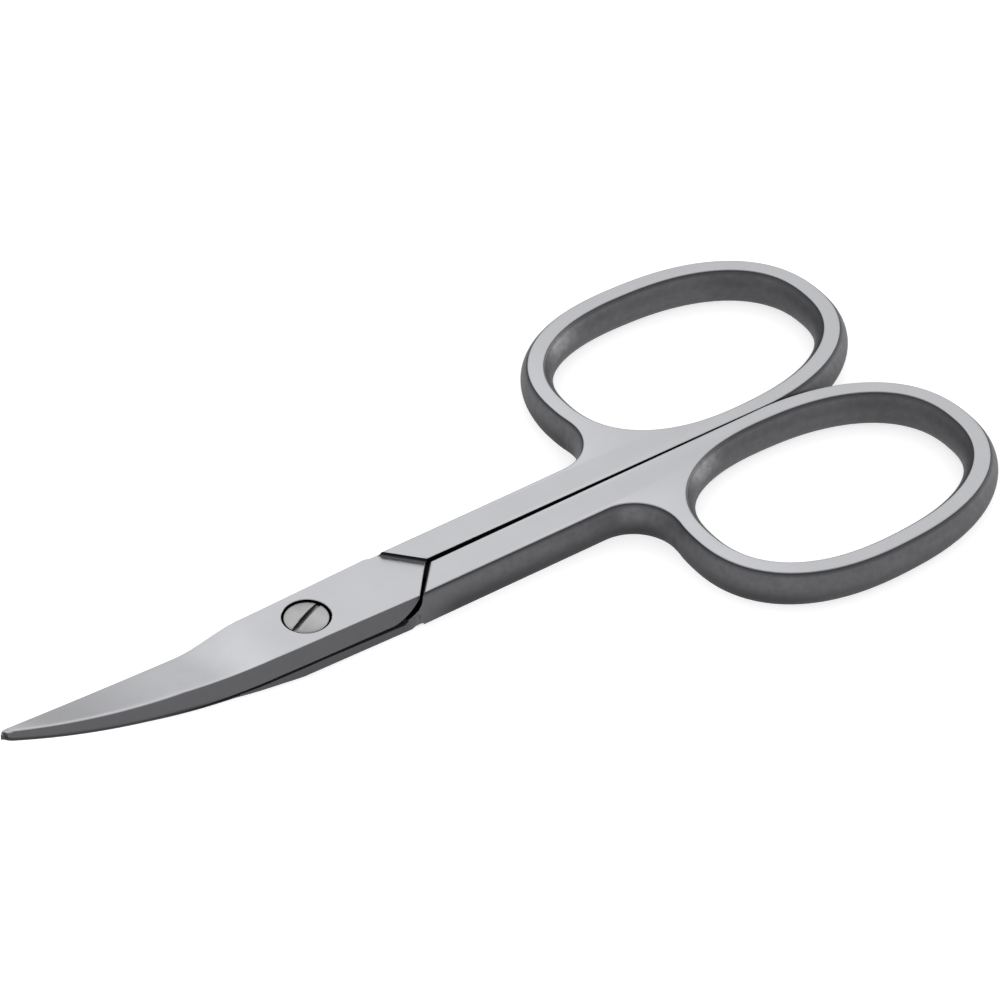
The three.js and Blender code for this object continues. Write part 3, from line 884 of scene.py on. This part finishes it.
def dark_faces(settings, centre, normal, bend):
    """How dark the painted shade on faces is in the gaps, along the groove, on the nose and on the lower
    blade's side.
    """
    groove_end = settings.joint.groove_end
    x, y, _ = centre.T
    level = np.abs(normal[:, 2])
    height = rise_above(settings, centre, bend)
    wide = settings.blade.gap_round + GROOVE_SWELL * smooth(x, *LINE_WIDER)
    line = (height > MERGE) & (height < np.where(y > 0, wide, SPINE_ROUND)) & (x < groove_end + LINE_MARGIN)
    line &= (level < np.where(x > LINE_ROOT, LINE_ROOT_LEVEL, LINE_LEVEL)) & (normal[:, 2] < LINE_UPWARD)
    dark = np.where(line, 1 - smooth(-x, *LINE_FADE[bend]), 0)
    nose = (normal[:, 0] < NOSE_FACING) & (x < -settings.blade.thinning_start)
    dark = np.where(nose, NOSE_DARK, dark)
    dark = np.maximum(dark, gap_walls(settings, centre, normal, bend))
    if bend == UPPER:
        return dark
    patch = (np.abs(height) < GROOVE_SWELL) & (np.abs(x - groove_end + GROOVE_RUN) < PATCH_REACH)
    dark = np.where(patch & (y > PATCH_SIDE), 1, dark)
    side = (y > 0) & (level < SIDE_LEVEL) & (height > 0)
    return np.maximum(dark, np.where(side, SIDE_DARK * (1 - smooth(x, *SIDE_FADE)), 0))


def dark_edges(settings, place, bend):
    """How dark the painted shade on points is along the handle's edges and along the foot of the blade's
    spine.
    """
    along = place[:, 0]
    foot = (1 - smooth(rise_above(settings, place, bend), *FOOT_HEIGHT)) * smooth(-along, *FOOT_START)
    foot = np.where(place[:, 1] < 0, foot, 0)
    edge = smooth(np.abs(place[:, 2]) - settings.handle.thickness / 2, *EDGE_HEIGHT)
    return np.where(along > HANDLE_LIMIT, edge, foot)


def ridge_highlight(settings, place, bend):
    """How close points are to the blade's ridge, where a highlight is painted."""
    distance = -place[:, 0]
    on_blade = np.clip(distance, RIDGE_ROOT, settings.blade.reach)
    from_ridge = np.abs(place[:, 1] + blade_widths(settings, on_blade, bend)[2])
    return (1 - smooth(from_ridge, *RIDGE_WIDTH)) * smooth(distance, *RIDGE_START)


def glints_and_side_shade(settings, place, bend):
    """How bright the painted highlights on the handle's sides are, and how dark the painted shade is at the
    openings' ends and low down.
    """
    handle = settings.handle
    height = bend * place[:, 2]
    middle = ring_edge(handle, 0, 0)[0] - opening_edge(handle, 0.0)
    x, y = (place[:, :2] - middle).T
    reach = np.hypot(x, y)
    inside = reach < np.hypot(*opening_edge(handle, np.arctan2(y, x)).T) + NEARNESS / 2
    from_spot = (np.arctan2(bend * y, x) - SPOT_TURN) / SPOT_SPREAD
    spot = np.exp(-(from_spot**2)) * smooth(height, *SPOT_HEIGHT)
    ends = FAR_SHADE * smooth(x / reach, *FAR_END) + NEAR_SHADE * smooth(-x / reach, *NEAR_END) * (1 - spot)
    centre, normal = ring_edge(handle, fillet_angle(handle), handle.band + handle.fillet)
    first = math.atan2(-normal[1], -normal[0])
    x, y = (place[:, :2] - centre).T
    in_fillet = np.abs(np.hypot(x, y) - handle.fillet + handle.shank_belly / 2) < handle.shank_belly
    glint_place = FILLET_PLACE * first - (1 - FILLET_PLACE) * RIGHT_ANGLE
    fillet = FILLET_GLINT * (1 - smooth(np.abs(np.arctan2(y, x) - glint_place), *FILLET_SPREAD))
    worn = np.maximum(np.where(inside, SPOT_GLINT * spot, 0), np.where(in_fillet, fillet, 0))
    low = 1 - smooth(handle.thickness / 2 + height, *LOW_HEIGHT)
    outside = LOW_OUTSIDE - LOW_RELIEF * smooth(place[:, 0], *LOW_RINGS)
    side_shade = np.maximum(np.where(inside, ends, 0), np.where(inside, LOW_INSIDE, outside) * low)
    return worn, side_shade * smooth(place[:, 0], *SHADE_START)


def vectors(items, name):
    """A vector of each face or point of a mesh, as rows."""
    values = np.empty((len(items), 3))
    items.foreach_get(name, values.ravel())
    return values


def mark(mesh, label, domain, values):
    """Keeps a value for each face or point of a mesh, for a material to read."""
    attribute = mesh.attributes.new(label, "FLOAT", domain)
    attribute.data.foreach_set("value", values.astype(np.float32))


def tag_finish(piece, settings, bend):
    """Marks how the faces and points of a half are finished, and where shade and highlights are painted on
    them.
    """
    mesh = piece.data
    centre = vectors(mesh.polygons, "center")
    normal = vectors(mesh.polygons, "normal")
    place = vectors(mesh.vertices, "co")
    level = np.abs(normal[:, 2])
    # Level faces take the bright ground colour, steep ones the darker side colour, which is partly painted
    # shade
    ground = np.where(centre[:, 0] < BLADE_LIMIT, smooth(level, *BLADE_LEVEL), smooth(level, *HANDLE_LEVEL))
    # Painted shade in the gaps, along the groove, on the nose and on the lower blade's side
    painted_shade = dark_faces(settings, centre, normal, bend)
    # Painted highlights inside the openings and in the fillets, and painted shade at the openings' ends and
    # low on the sides
    worn, side_shade = glints_and_side_shade(settings, place, bend)
    # Painted shade on the ground faces, darkest at the tip, which stands in for reflections
    tone = 1 + sum(change * smooth(place[:, 0], start, end) for change, start, end in TONE_CHANGES)
    mark(mesh, "ground", "FACE", ground * (1 - painted_shade))
    mark(mesh, "painted_shade", "FACE", painted_shade)
    # Painted shade along the handle's edges, the spine's foot, the openings' ends and low on the sides
    mark(mesh, "shade", "POINT", np.maximum(dark_edges(settings, place, bend), side_shade))
    mark(mesh, "tone", "POINT", tone)
    # Painted highlight along the ridge
    mark(mesh, "ridge", "POINT", ridge_highlight(settings, place, bend))
    mark(mesh, "worn", "POINT", worn)


def dress(piece, material, node, body):
    """Smooths a finished piece, gives it its material and puts it in the place of its node."""
    piece.data.shade_smooth()
    piece.data.set_sharp_from_angle(angle=SHARP_TURN)
    weighted = piece.modifiers.new("normals", "WEIGHTED_NORMAL")
    weighted.mode = "FACE_AREA"
    weighted.weight = 100
    weighted.keep_sharp = True
    settle(piece)
    piece.data.materials.clear()
    piece.data.materials.append(material)
    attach(piece, body)
    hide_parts(node)


def joint_middle(settings):
    """The joint's middle in the frame."""
    return PIVOT - Vector((settings.screw.shift, settings.screw.offset, 0))


def to_frame(piece, settings, turned_over):
    """Moves a piece's mesh from the place where it was made to its place in the frame."""
    place = Matrix.Translation(joint_middle(settings))
    if turned_over:
        place = place @ Matrix.Rotation(math.pi, 4, "X")
    piece.data.transform(place)


# Screw

# Chamfer of the thread's end, how far the slot's rounded edges are above its floor at least, and the painted
# shade on the slot's walls and floor, which are steep or deep
THREAD_CHAMFER = 0.12 * MM
SLOT_MARGIN = 0.1 * MM
SLOT_STEEP = 0.3
SLOT_DEEP = 0.06 * MM
SLOT_WALL_DARK = 0.9
SLOT_FLOOR_DARK = 0.55


def screw_profile(settings):
    """The screw as (radius, height) points, from its threaded end to the top of its domed head."""
    screw = settings.screw
    face = face_height(settings)
    end = screw.end_drop - face
    journal = screw.thread_clearance - settings.joint.blade_gap / 2
    under_head = face - screw.seat_depth + screw.thread_clearance
    rim = face - screw.rim_drop
    profile = [
        (0, end),
        (screw.thread_radius - THREAD_CHAMFER, end),
        (screw.thread_radius, end + THREAD_CHAMFER),
        (screw.thread_radius, journal),
        (screw.journal_radius, journal),
        (screw.journal_radius, under_head),
        (screw.head_radius, under_head),
    ]
    slope = math.atan(2 * screw.dome / screw.head_radius)
    rounding = screw.rim_round
    edge = screw.head_radius - rounding
    profile += arc(edge, rim - rounding, rounding, 0, RIGHT_ANGLE - slope, CORNER_STEPS)
    dome_edge, dome_low = profile[-1]
    for step in range(1, DOME_STEPS):
        radius = dome_edge * (1 - step / DOME_STEPS)
        profile.append((radius, dome_low + screw.dome * (1 - (radius / dome_edge) ** 2)))
    profile.append((0, dome_low + screw.dome))
    return profile


def driver_slot(screw, floor):
    """The space of the driver's slot, from its floor up."""
    half = screw.slot_width / 2
    corners = [(-half, floor), (half, floor), (half, OVERRUN), (-half, OVERRUN)]
    slot = loft("slot", [np.array([(x, y, z) for y, z in corners]) for x in (-OVERRUN, OVERRUN)])
    axis = Matrix.Translation((screw.shift, screw.offset, 0))
    slot.data.transform(axis @ Matrix.Rotation(screw.slot_angle, 4, "Z"))
    return slot


def tag_slot(piece, rim):
    """Marks painted shade on the walls and the floor of the slot, and on the side of the head."""
    centre = vectors(piece.data.polygons, "center")
    normal = vectors(piece.data.polygons, "normal")
    dark = np.where(centre[:, 2] < rim - SLOT_DEEP, SLOT_FLOOR_DARK, 0)
    dark = np.where(np.abs(normal[:, 2]) < SLOT_STEEP, SLOT_WALL_DARK, dark)
    mark(piece.data, "painted_shade", "FACE", np.where(centre[:, 2] > 0, dark, 0))


# Shaders

# Sockets of a Mix node for colours, which share their names with others, and the noise values that are spread
# over a whole range
MIX_LOW = 6
MIX_HIGH = 7
MIX_RESULT = 2
CONTRAST = (0.3, 0.7)


class Value:
    """A shader value that takes part in Python expressions."""

    def __init__(self, socket):
        self.socket = socket
        self.tree = socket.id_data

    def maths(self, operation, *values):
        return add_node(self.tree, "ShaderNodeMath", {"operation": operation}, dict(enumerate(values)))

    def __add__(self, other):
        return self.maths("ADD", self, other)

    __radd__ = __add__

    def __sub__(self, other):
        return self.maths("SUBTRACT", self, other)

    def __rsub__(self, other):
        return self.maths("SUBTRACT", other, self)

    def __mul__(self, other):
        return self.maths("MULTIPLY", self, other)

    __rmul__ = __mul__

    def maximum(self, other):
        return self.maths("MAXIMUM", self, other)


def set_inputs(node, values):
    """Sets or links sockets of a node."""
    for name, value in values.items():
        socket = node.inputs[name]
        if isinstance(value, Value):
            value.tree.links.new(value.socket, socket)
        else:
            socket.default_value = value


def add_node(tree, kind, settings, values, output=0):
    """Adds a node, sets its settings, then sets or links its sockets, and returns one output."""
    node = tree.nodes.new(kind)
    for name, value in settings.items():
        setattr(node, name, value)
    set_inputs(node, values)
    return Value(node.outputs[output])


def marked(tree, label):
    """A value that was marked on a piece's faces or points."""
    return add_node(tree, "ShaderNodeAttribute", {"attribute_name": label}, {}, "Fac")


def blended(tree, factor, low, high):
    """A colour between two colours."""
    values = {"Factor": factor, MIX_LOW: low, MIX_HIGH: high}
    return add_node(tree, "ShaderNodeMix", {"data_type": "RGBA", "clamp_factor": True}, values, MIX_RESULT)


def stepped(tree, value, low, high):
    """A smooth step from 0 at low to 1 at high."""
    values = {"Value": value, "From Min": low, "From Max": high}
    return add_node(tree, "ShaderNodeMapRange", {"interpolation_type": "SMOOTHSTEP"}, values)


def grain(tree, scale, detail):
    """Noise on Object coordinates, stretched by a scale for each axis, in features per metre."""
    place = add_node(tree, "ShaderNodeTexCoord", {}, {}, "Object")
    stretched = add_node(tree, "ShaderNodeMapping", {}, {"Vector": place, "Scale": scale})
    return add_node(tree, "ShaderNodeTexNoise", {}, {"Vector": stretched, "Scale": 1.0, "Detail": detail})


def new_material(name):
    """A material with its node tree and its shader."""
    material = bpy.data.materials.new(name)
    material.use_nodes = True
    tree = material.node_tree
    return material, tree, tree.nodes["Principled BSDF"]


def opaque(value):
    """A colour property as the four numbers that a socket takes."""
    return (*value, 1)


def satin_steel(settings):
    """Steel with satin ground faces and matte forged sides, which are darker partly as their finish and
    partly as painted shade, with painted shade in the gaps, along the edges and towards the tip, and painted
    highlights on the ridge and in the rings' tight curves.
    """
    name = "satin_finish"
    if name in bpy.data.materials:
        return bpy.data.materials[name]
    finish = settings.finish
    material, tree, shader = new_material(name)
    ground, painted_shade, shade = (marked(tree, label) for label in ("ground", "painted_shade", "shade"))
    tone, ridge, worn = (marked(tree, label) for label in ("tone", "ridge", "worn"))
    streaks = grain(tree, (700, 11000, 4000), 4)
    clouds = grain(tree, (240, 240, 240), 2)
    blotches = grain(tree, (1500, 1500, 1500), 4)
    speckle = grain(tree, (9000, 9000, 9000), 3)
    streaked = stepped(tree, streaks * 0.6 + clouds * 0.4, *CONTRAST)
    faces = blended(tree, streaked, opaque(finish.ground_low), opaque(finish.ground))
    # Painted shade towards the tip, lifted along the ridge by a painted highlight
    faces = blended(tree, tone * (1 - ridge), faces, opaque(finish.tip))
    place = add_node(tree, "ShaderNodeTexCoord", {}, {}, "Object")
    along = add_node(tree, "ShaderNodeSeparateXYZ", {}, {"Vector": place}, "X")
    uneven = stepped(tree, along, -8 * MM, 2 * MM) * 0.75 + 0.25
    speckled = (stepped(tree, speckle * 0.4 + blotches * 0.6, *CONTRAST) - 0.5) * uneven + 0.5
    # The sides' colour, partly their forged finish and partly painted shade
    sides = blended(tree, speckled, opaque(finish.forged_low), opaque(finish.forged))
    # Painted highlights inside the openings and in the fillets
    sides = blended(tree, worn * (0.4 + speckled * 0.6), sides, opaque(finish.worn))
    # Painted shade along the edges, at the openings' ends and low on the sides
    sides = blended(tree, shade, sides, opaque(finish.edge_shade))
    steel = blended(tree, ground, sides, faces)
    # Painted shade in the gaps, along the groove and on the nose
    steel = blended(tree, painted_shade, steel, opaque(finish.painted_shade))
    rough = 0.5 + speckle * 0.12 - ground * (0.24 - streaks * 0.1)
    relief = ground * streaks * 0.35 + (1 - ground) * speckle
    bump = add_node(tree, "ShaderNodeBump", {}, {"Strength": 0.25, "Distance": 0.02 * MM, "Height": relief})
    set_inputs(shader, {"Base Color": steel, "Metallic": 1, "Roughness": rough, "Normal": bump})
    return material


def screw_steel(settings):
    """Steel of the screw, a little mottled, with painted shade in its slot and on the head's side."""
    finish = settings.finish
    material, tree, shader = new_material("turned_finish")
    painted_shade = marked(tree, "painted_shade")
    speckle = grain(tree, (3000, 3000, 3000), 3)
    clouds = grain(tree, (700, 700, 700), 2)
    mottled = stepped(tree, speckle * 0.4 + clouds * 0.6, *CONTRAST)
    darker = [0.86 * value for value in finish.screw]
    face = blended(tree, mottled, opaque(darker), opaque(finish.screw))
    # Painted shade in the slot and on the head's side
    steel = blended(tree, painted_shade, face, opaque(finish.painted_shade))
    rough = 0.3 + speckle * 0.1
    bump = add_node(tree, "ShaderNodeBump", {}, {"Strength": 0.2, "Distance": 0.01 * MM, "Height": speckle})
    set_inputs(shader, {"Base Color": steel, "Metallic": 1, "Roughness": rough, "Normal": bump})
    return material


# Studio

# Name, place, size and power of each lamp
LAMPS = (
    ("key_lamp", (0.22, 0.34, 0.62), 0.5, 0.25),
    ("fill_lamp", (-0.5, -0.25, 0.45), 0.6, 0.15),
    ("side_lamp", (0.45, -0.06, 0.1), 0.2, 0.28),
)

# The sky's colours, and the heights between which one goes over into the next
SKY_LOW = (0.55, 0.55, 0.56, 1)
SKY_BRIGHT = (1, 1, 1, 1)
SKY_OVERHEAD = (0.38, 0.38, 0.39, 1)
SKY_RISE = (0.12, 0.5)
SKY_TOP = (0.74, 0.95)

# The floor's half width, how far it lies under the scissors, its colour and its glow
FLOOR_REACH = 6
FLOOR_DROP = 0.02 * MM
FLOOR_WHITE = (0.8, 0.8, 0.8, 1)
SEEN_GLOW = 0.6
MIRRORED_GLOW = 0.42

# The camera's sensor in millimetres, and how close it sees
SENSOR_WIDTH = 36
CLIP_START = 0.01


# Operators


class SCISSORS_OT_upper_half(Operator):
    """Builds the half whose blade lies on top, with the seat for the screw"""

    bl_idname = "scissors.upper_half"
    bl_label = "Upper half"

    def execute(self, context):
        settings = context.scene.scissors
        piece = half_piece("upper_half_forging", settings, UPPER)
        carve(piece, seat_hole(settings, True), "DIFFERENCE")
        tag_finish(piece, settings, UPPER)
        to_frame(piece, settings, False)
        dress(piece, satin_steel(settings), "upper_half", "upper_body")
        return {"FINISHED"}


class SCISSORS_OT_lower_half(Operator):
    """Builds the half whose blade lies underneath, with the tapped hole"""

    bl_idname = "scissors.lower_half"
    bl_label = "Lower half"

    def execute(self, context):
        settings = context.scene.scissors
        piece = half_piece("lower_half_forging", settings, LOWER)
        carve(piece, seat_hole(settings, False), "DIFFERENCE")
        tag_finish(piece, settings, LOWER)
        to_frame(piece, settings, True)
        dress(piece, satin_steel(settings), "lower_half", "lower_body")
        return {"FINISHED"}


class SCISSORS_OT_pivot_screw(Operator):
    """Builds the slotted screw that the halves turn on"""

    bl_idname = "scissors.pivot_screw"
    bl_label = "Pivot screw"

    def execute(self, context):
        settings = context.scene.scissors
        screw = settings.screw
        rim = face_height(settings) - screw.rim_drop
        top = rim + screw.dome
        floor = top - screw.slot_depth
        piece = lathe("pivot_screw_turned", screw_profile(settings), screw.shift, screw.offset)
        carve(piece, driver_slot(screw, floor), "DIFFERENCE")
        soften(piece, screw.slot_round, top, lambda place: place.z > floor + SLOT_MARGIN)
        tag_slot(piece, rim)
        to_frame(piece, settings, False)
        dress(piece, screw_steel(settings), "pivot_screw", "lower_body")
        return {"FINISHED"}


class SCISSORS_OT_studio(Operator):
    """Makes the floor, the light and the camera"""

    bl_idname = "scissors.studio"
    bl_label = "Studio"

    def execute(self, context):
        self.floor()
        self.sky(context.scene)
        for name, place, size, power in LAMPS:
            self.lamp(name, place, size, power)
        self.camera(context.scene)
        context.scene.view_settings.view_transform = "Standard"
        return {"FINISHED"}

    def camera(self, scene):
        """The camera that sees the scissors as they were photographed."""
        settings = scene.scissors
        studio = settings.studio
        camera = bpy.data.cameras.new("camera")
        camera.sensor_width = SENSOR_WIDTH
        camera.lens = studio.lens
        camera.clip_start = CLIP_START
        viewer = bpy.data.objects.new("camera", camera)
        scene.collection.objects.link(viewer)
        back = Vector((math.sin(studio.heading), -math.cos(studio.heading), 0)) * math.cos(studio.elevation)
        back.z = math.sin(studio.elevation)
        aim = joint_middle(settings) + Vector((studio.aim_x, studio.aim_y, settings.handle.thickness / 2))
        viewer.location = aim + back * studio.camera_range
        viewer.rotation_euler = (RIGHT_ANGLE - studio.elevation, 0, studio.heading)
        scene.camera = viewer

    def floor(self):
        """A wide pale floor that is white to the eye and in reflections, and keeps the scissors' shadow."""
        reach = FLOOR_REACH
        plan = [(-reach, -reach), (reach, -reach), (reach, reach), (-reach, reach)]
        mesh = bpy.data.meshes.new("floor")
        mesh.from_pydata([(x, y, -FLOOR_DROP) for x, y in plan], [], [(0, 1, 2, 3)])
        floor = bpy.data.objects.new("floor", mesh)
        bpy.context.scene.collection.objects.link(floor)
        material, tree, shader = new_material("floor_white")
        seen = add_node(tree, "ShaderNodeLightPath", {}, {}, "Is Camera Ray")
        mirrored = add_node(tree, "ShaderNodeLightPath", {}, {}, "Is Glossy Ray")
        through = add_node(tree, "ShaderNodeLightPath", {}, {}, "Is Transmission Ray")
        glow = (seen * SEEN_GLOW).maximum(mirrored.maximum(through) * MIRRORED_GLOW)
        set_inputs(shader, {"Base Color": FLOOR_WHITE, "Roughness": 1, "Specular IOR Level": 0})
        set_inputs(shader, {"Emission Color": glow, "Emission Strength": 1})
        mesh.materials.append(material)

    def sky(self, scene):
        """A soft studio sky, brightest half way up."""
        world = bpy.data.worlds.new("studio_sky")
        scene.world = world
        world.use_nodes = True
        tree = world.node_tree
        direction = add_node(tree, "ShaderNodeTexCoord", {}, {}, "Generated")
        height = add_node(tree, "ShaderNodeSeparateXYZ", {}, {"Vector": direction}, "Z")
        shade = blended(tree, stepped(tree, height, *SKY_RISE), SKY_LOW, SKY_BRIGHT)
        shade = blended(tree, stepped(tree, height, *SKY_TOP), shade, SKY_OVERHEAD)
        set_inputs(tree.nodes["Background"], {"Color": shade})

    def lamp(self, name, place, size, power):
        """A square soft lamp that faces the scissors."""
        light = bpy.data.lights.new(name, "AREA")
        light.size = size
        light.energy = power
        lamp = bpy.data.objects.new(name, light)
        lamp.location = place
        lamp.rotation_euler = (-Vector(place)).to_track_quat("-Z", "Y").to_euler()
        bpy.context.scene.collection.objects.link(lamp)


class SCISSORS_PT_panel(Panel):
    """Lists the pieces of the scissors"""

    bl_idname = "SCISSORS_PT_panel"
    bl_label = "Nail scissors"
    bl_space_type = "VIEW_3D"
    bl_region_type = "UI"
    bl_category = "Scissors"

    def draw(self, context):
        settings = context.scene.scissors
        for group in ("handle", "joint", "blade", "screw", "finish", "studio"):
            box = self.layout.box()
            box.label(text=group.capitalize())
            values = getattr(settings, group)
            for name in values.__annotations__:
                box.prop(values, name)
        for operator in OPERATORS:
            self.layout.operator(operator.bl_idname)


GROUPS = (HandleSizes, JointSizes, BladeSizes, ScrewSizes, FinishColours, StudioSizes, ScissorSettings)
OPERATORS = (SCISSORS_OT_upper_half, SCISSORS_OT_lower_half, SCISSORS_OT_pivot_screw, SCISSORS_OT_studio)


def register():
    for item in (*GROUPS, *OPERATORS, SCISSORS_PT_panel):
        bpy.utils.register_class(item)
    bpy.types.Scene.scissors = PointerProperty(type=ScissorSettings)


def unregister():
    del bpy.types.Scene.scissors
    for item in reversed((*GROUPS, *OPERATORS, SCISSORS_PT_panel)):
        bpy.utils.unregister_class(item)


def main():
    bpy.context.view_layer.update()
    register()
    bpy.ops.scissors.studio()
    bpy.ops.scissors.upper_half()
    bpy.ops.scissors.lower_half()
    bpy.ops.scissors.pivot_screw()


if __name__ == "__main__":
    main()
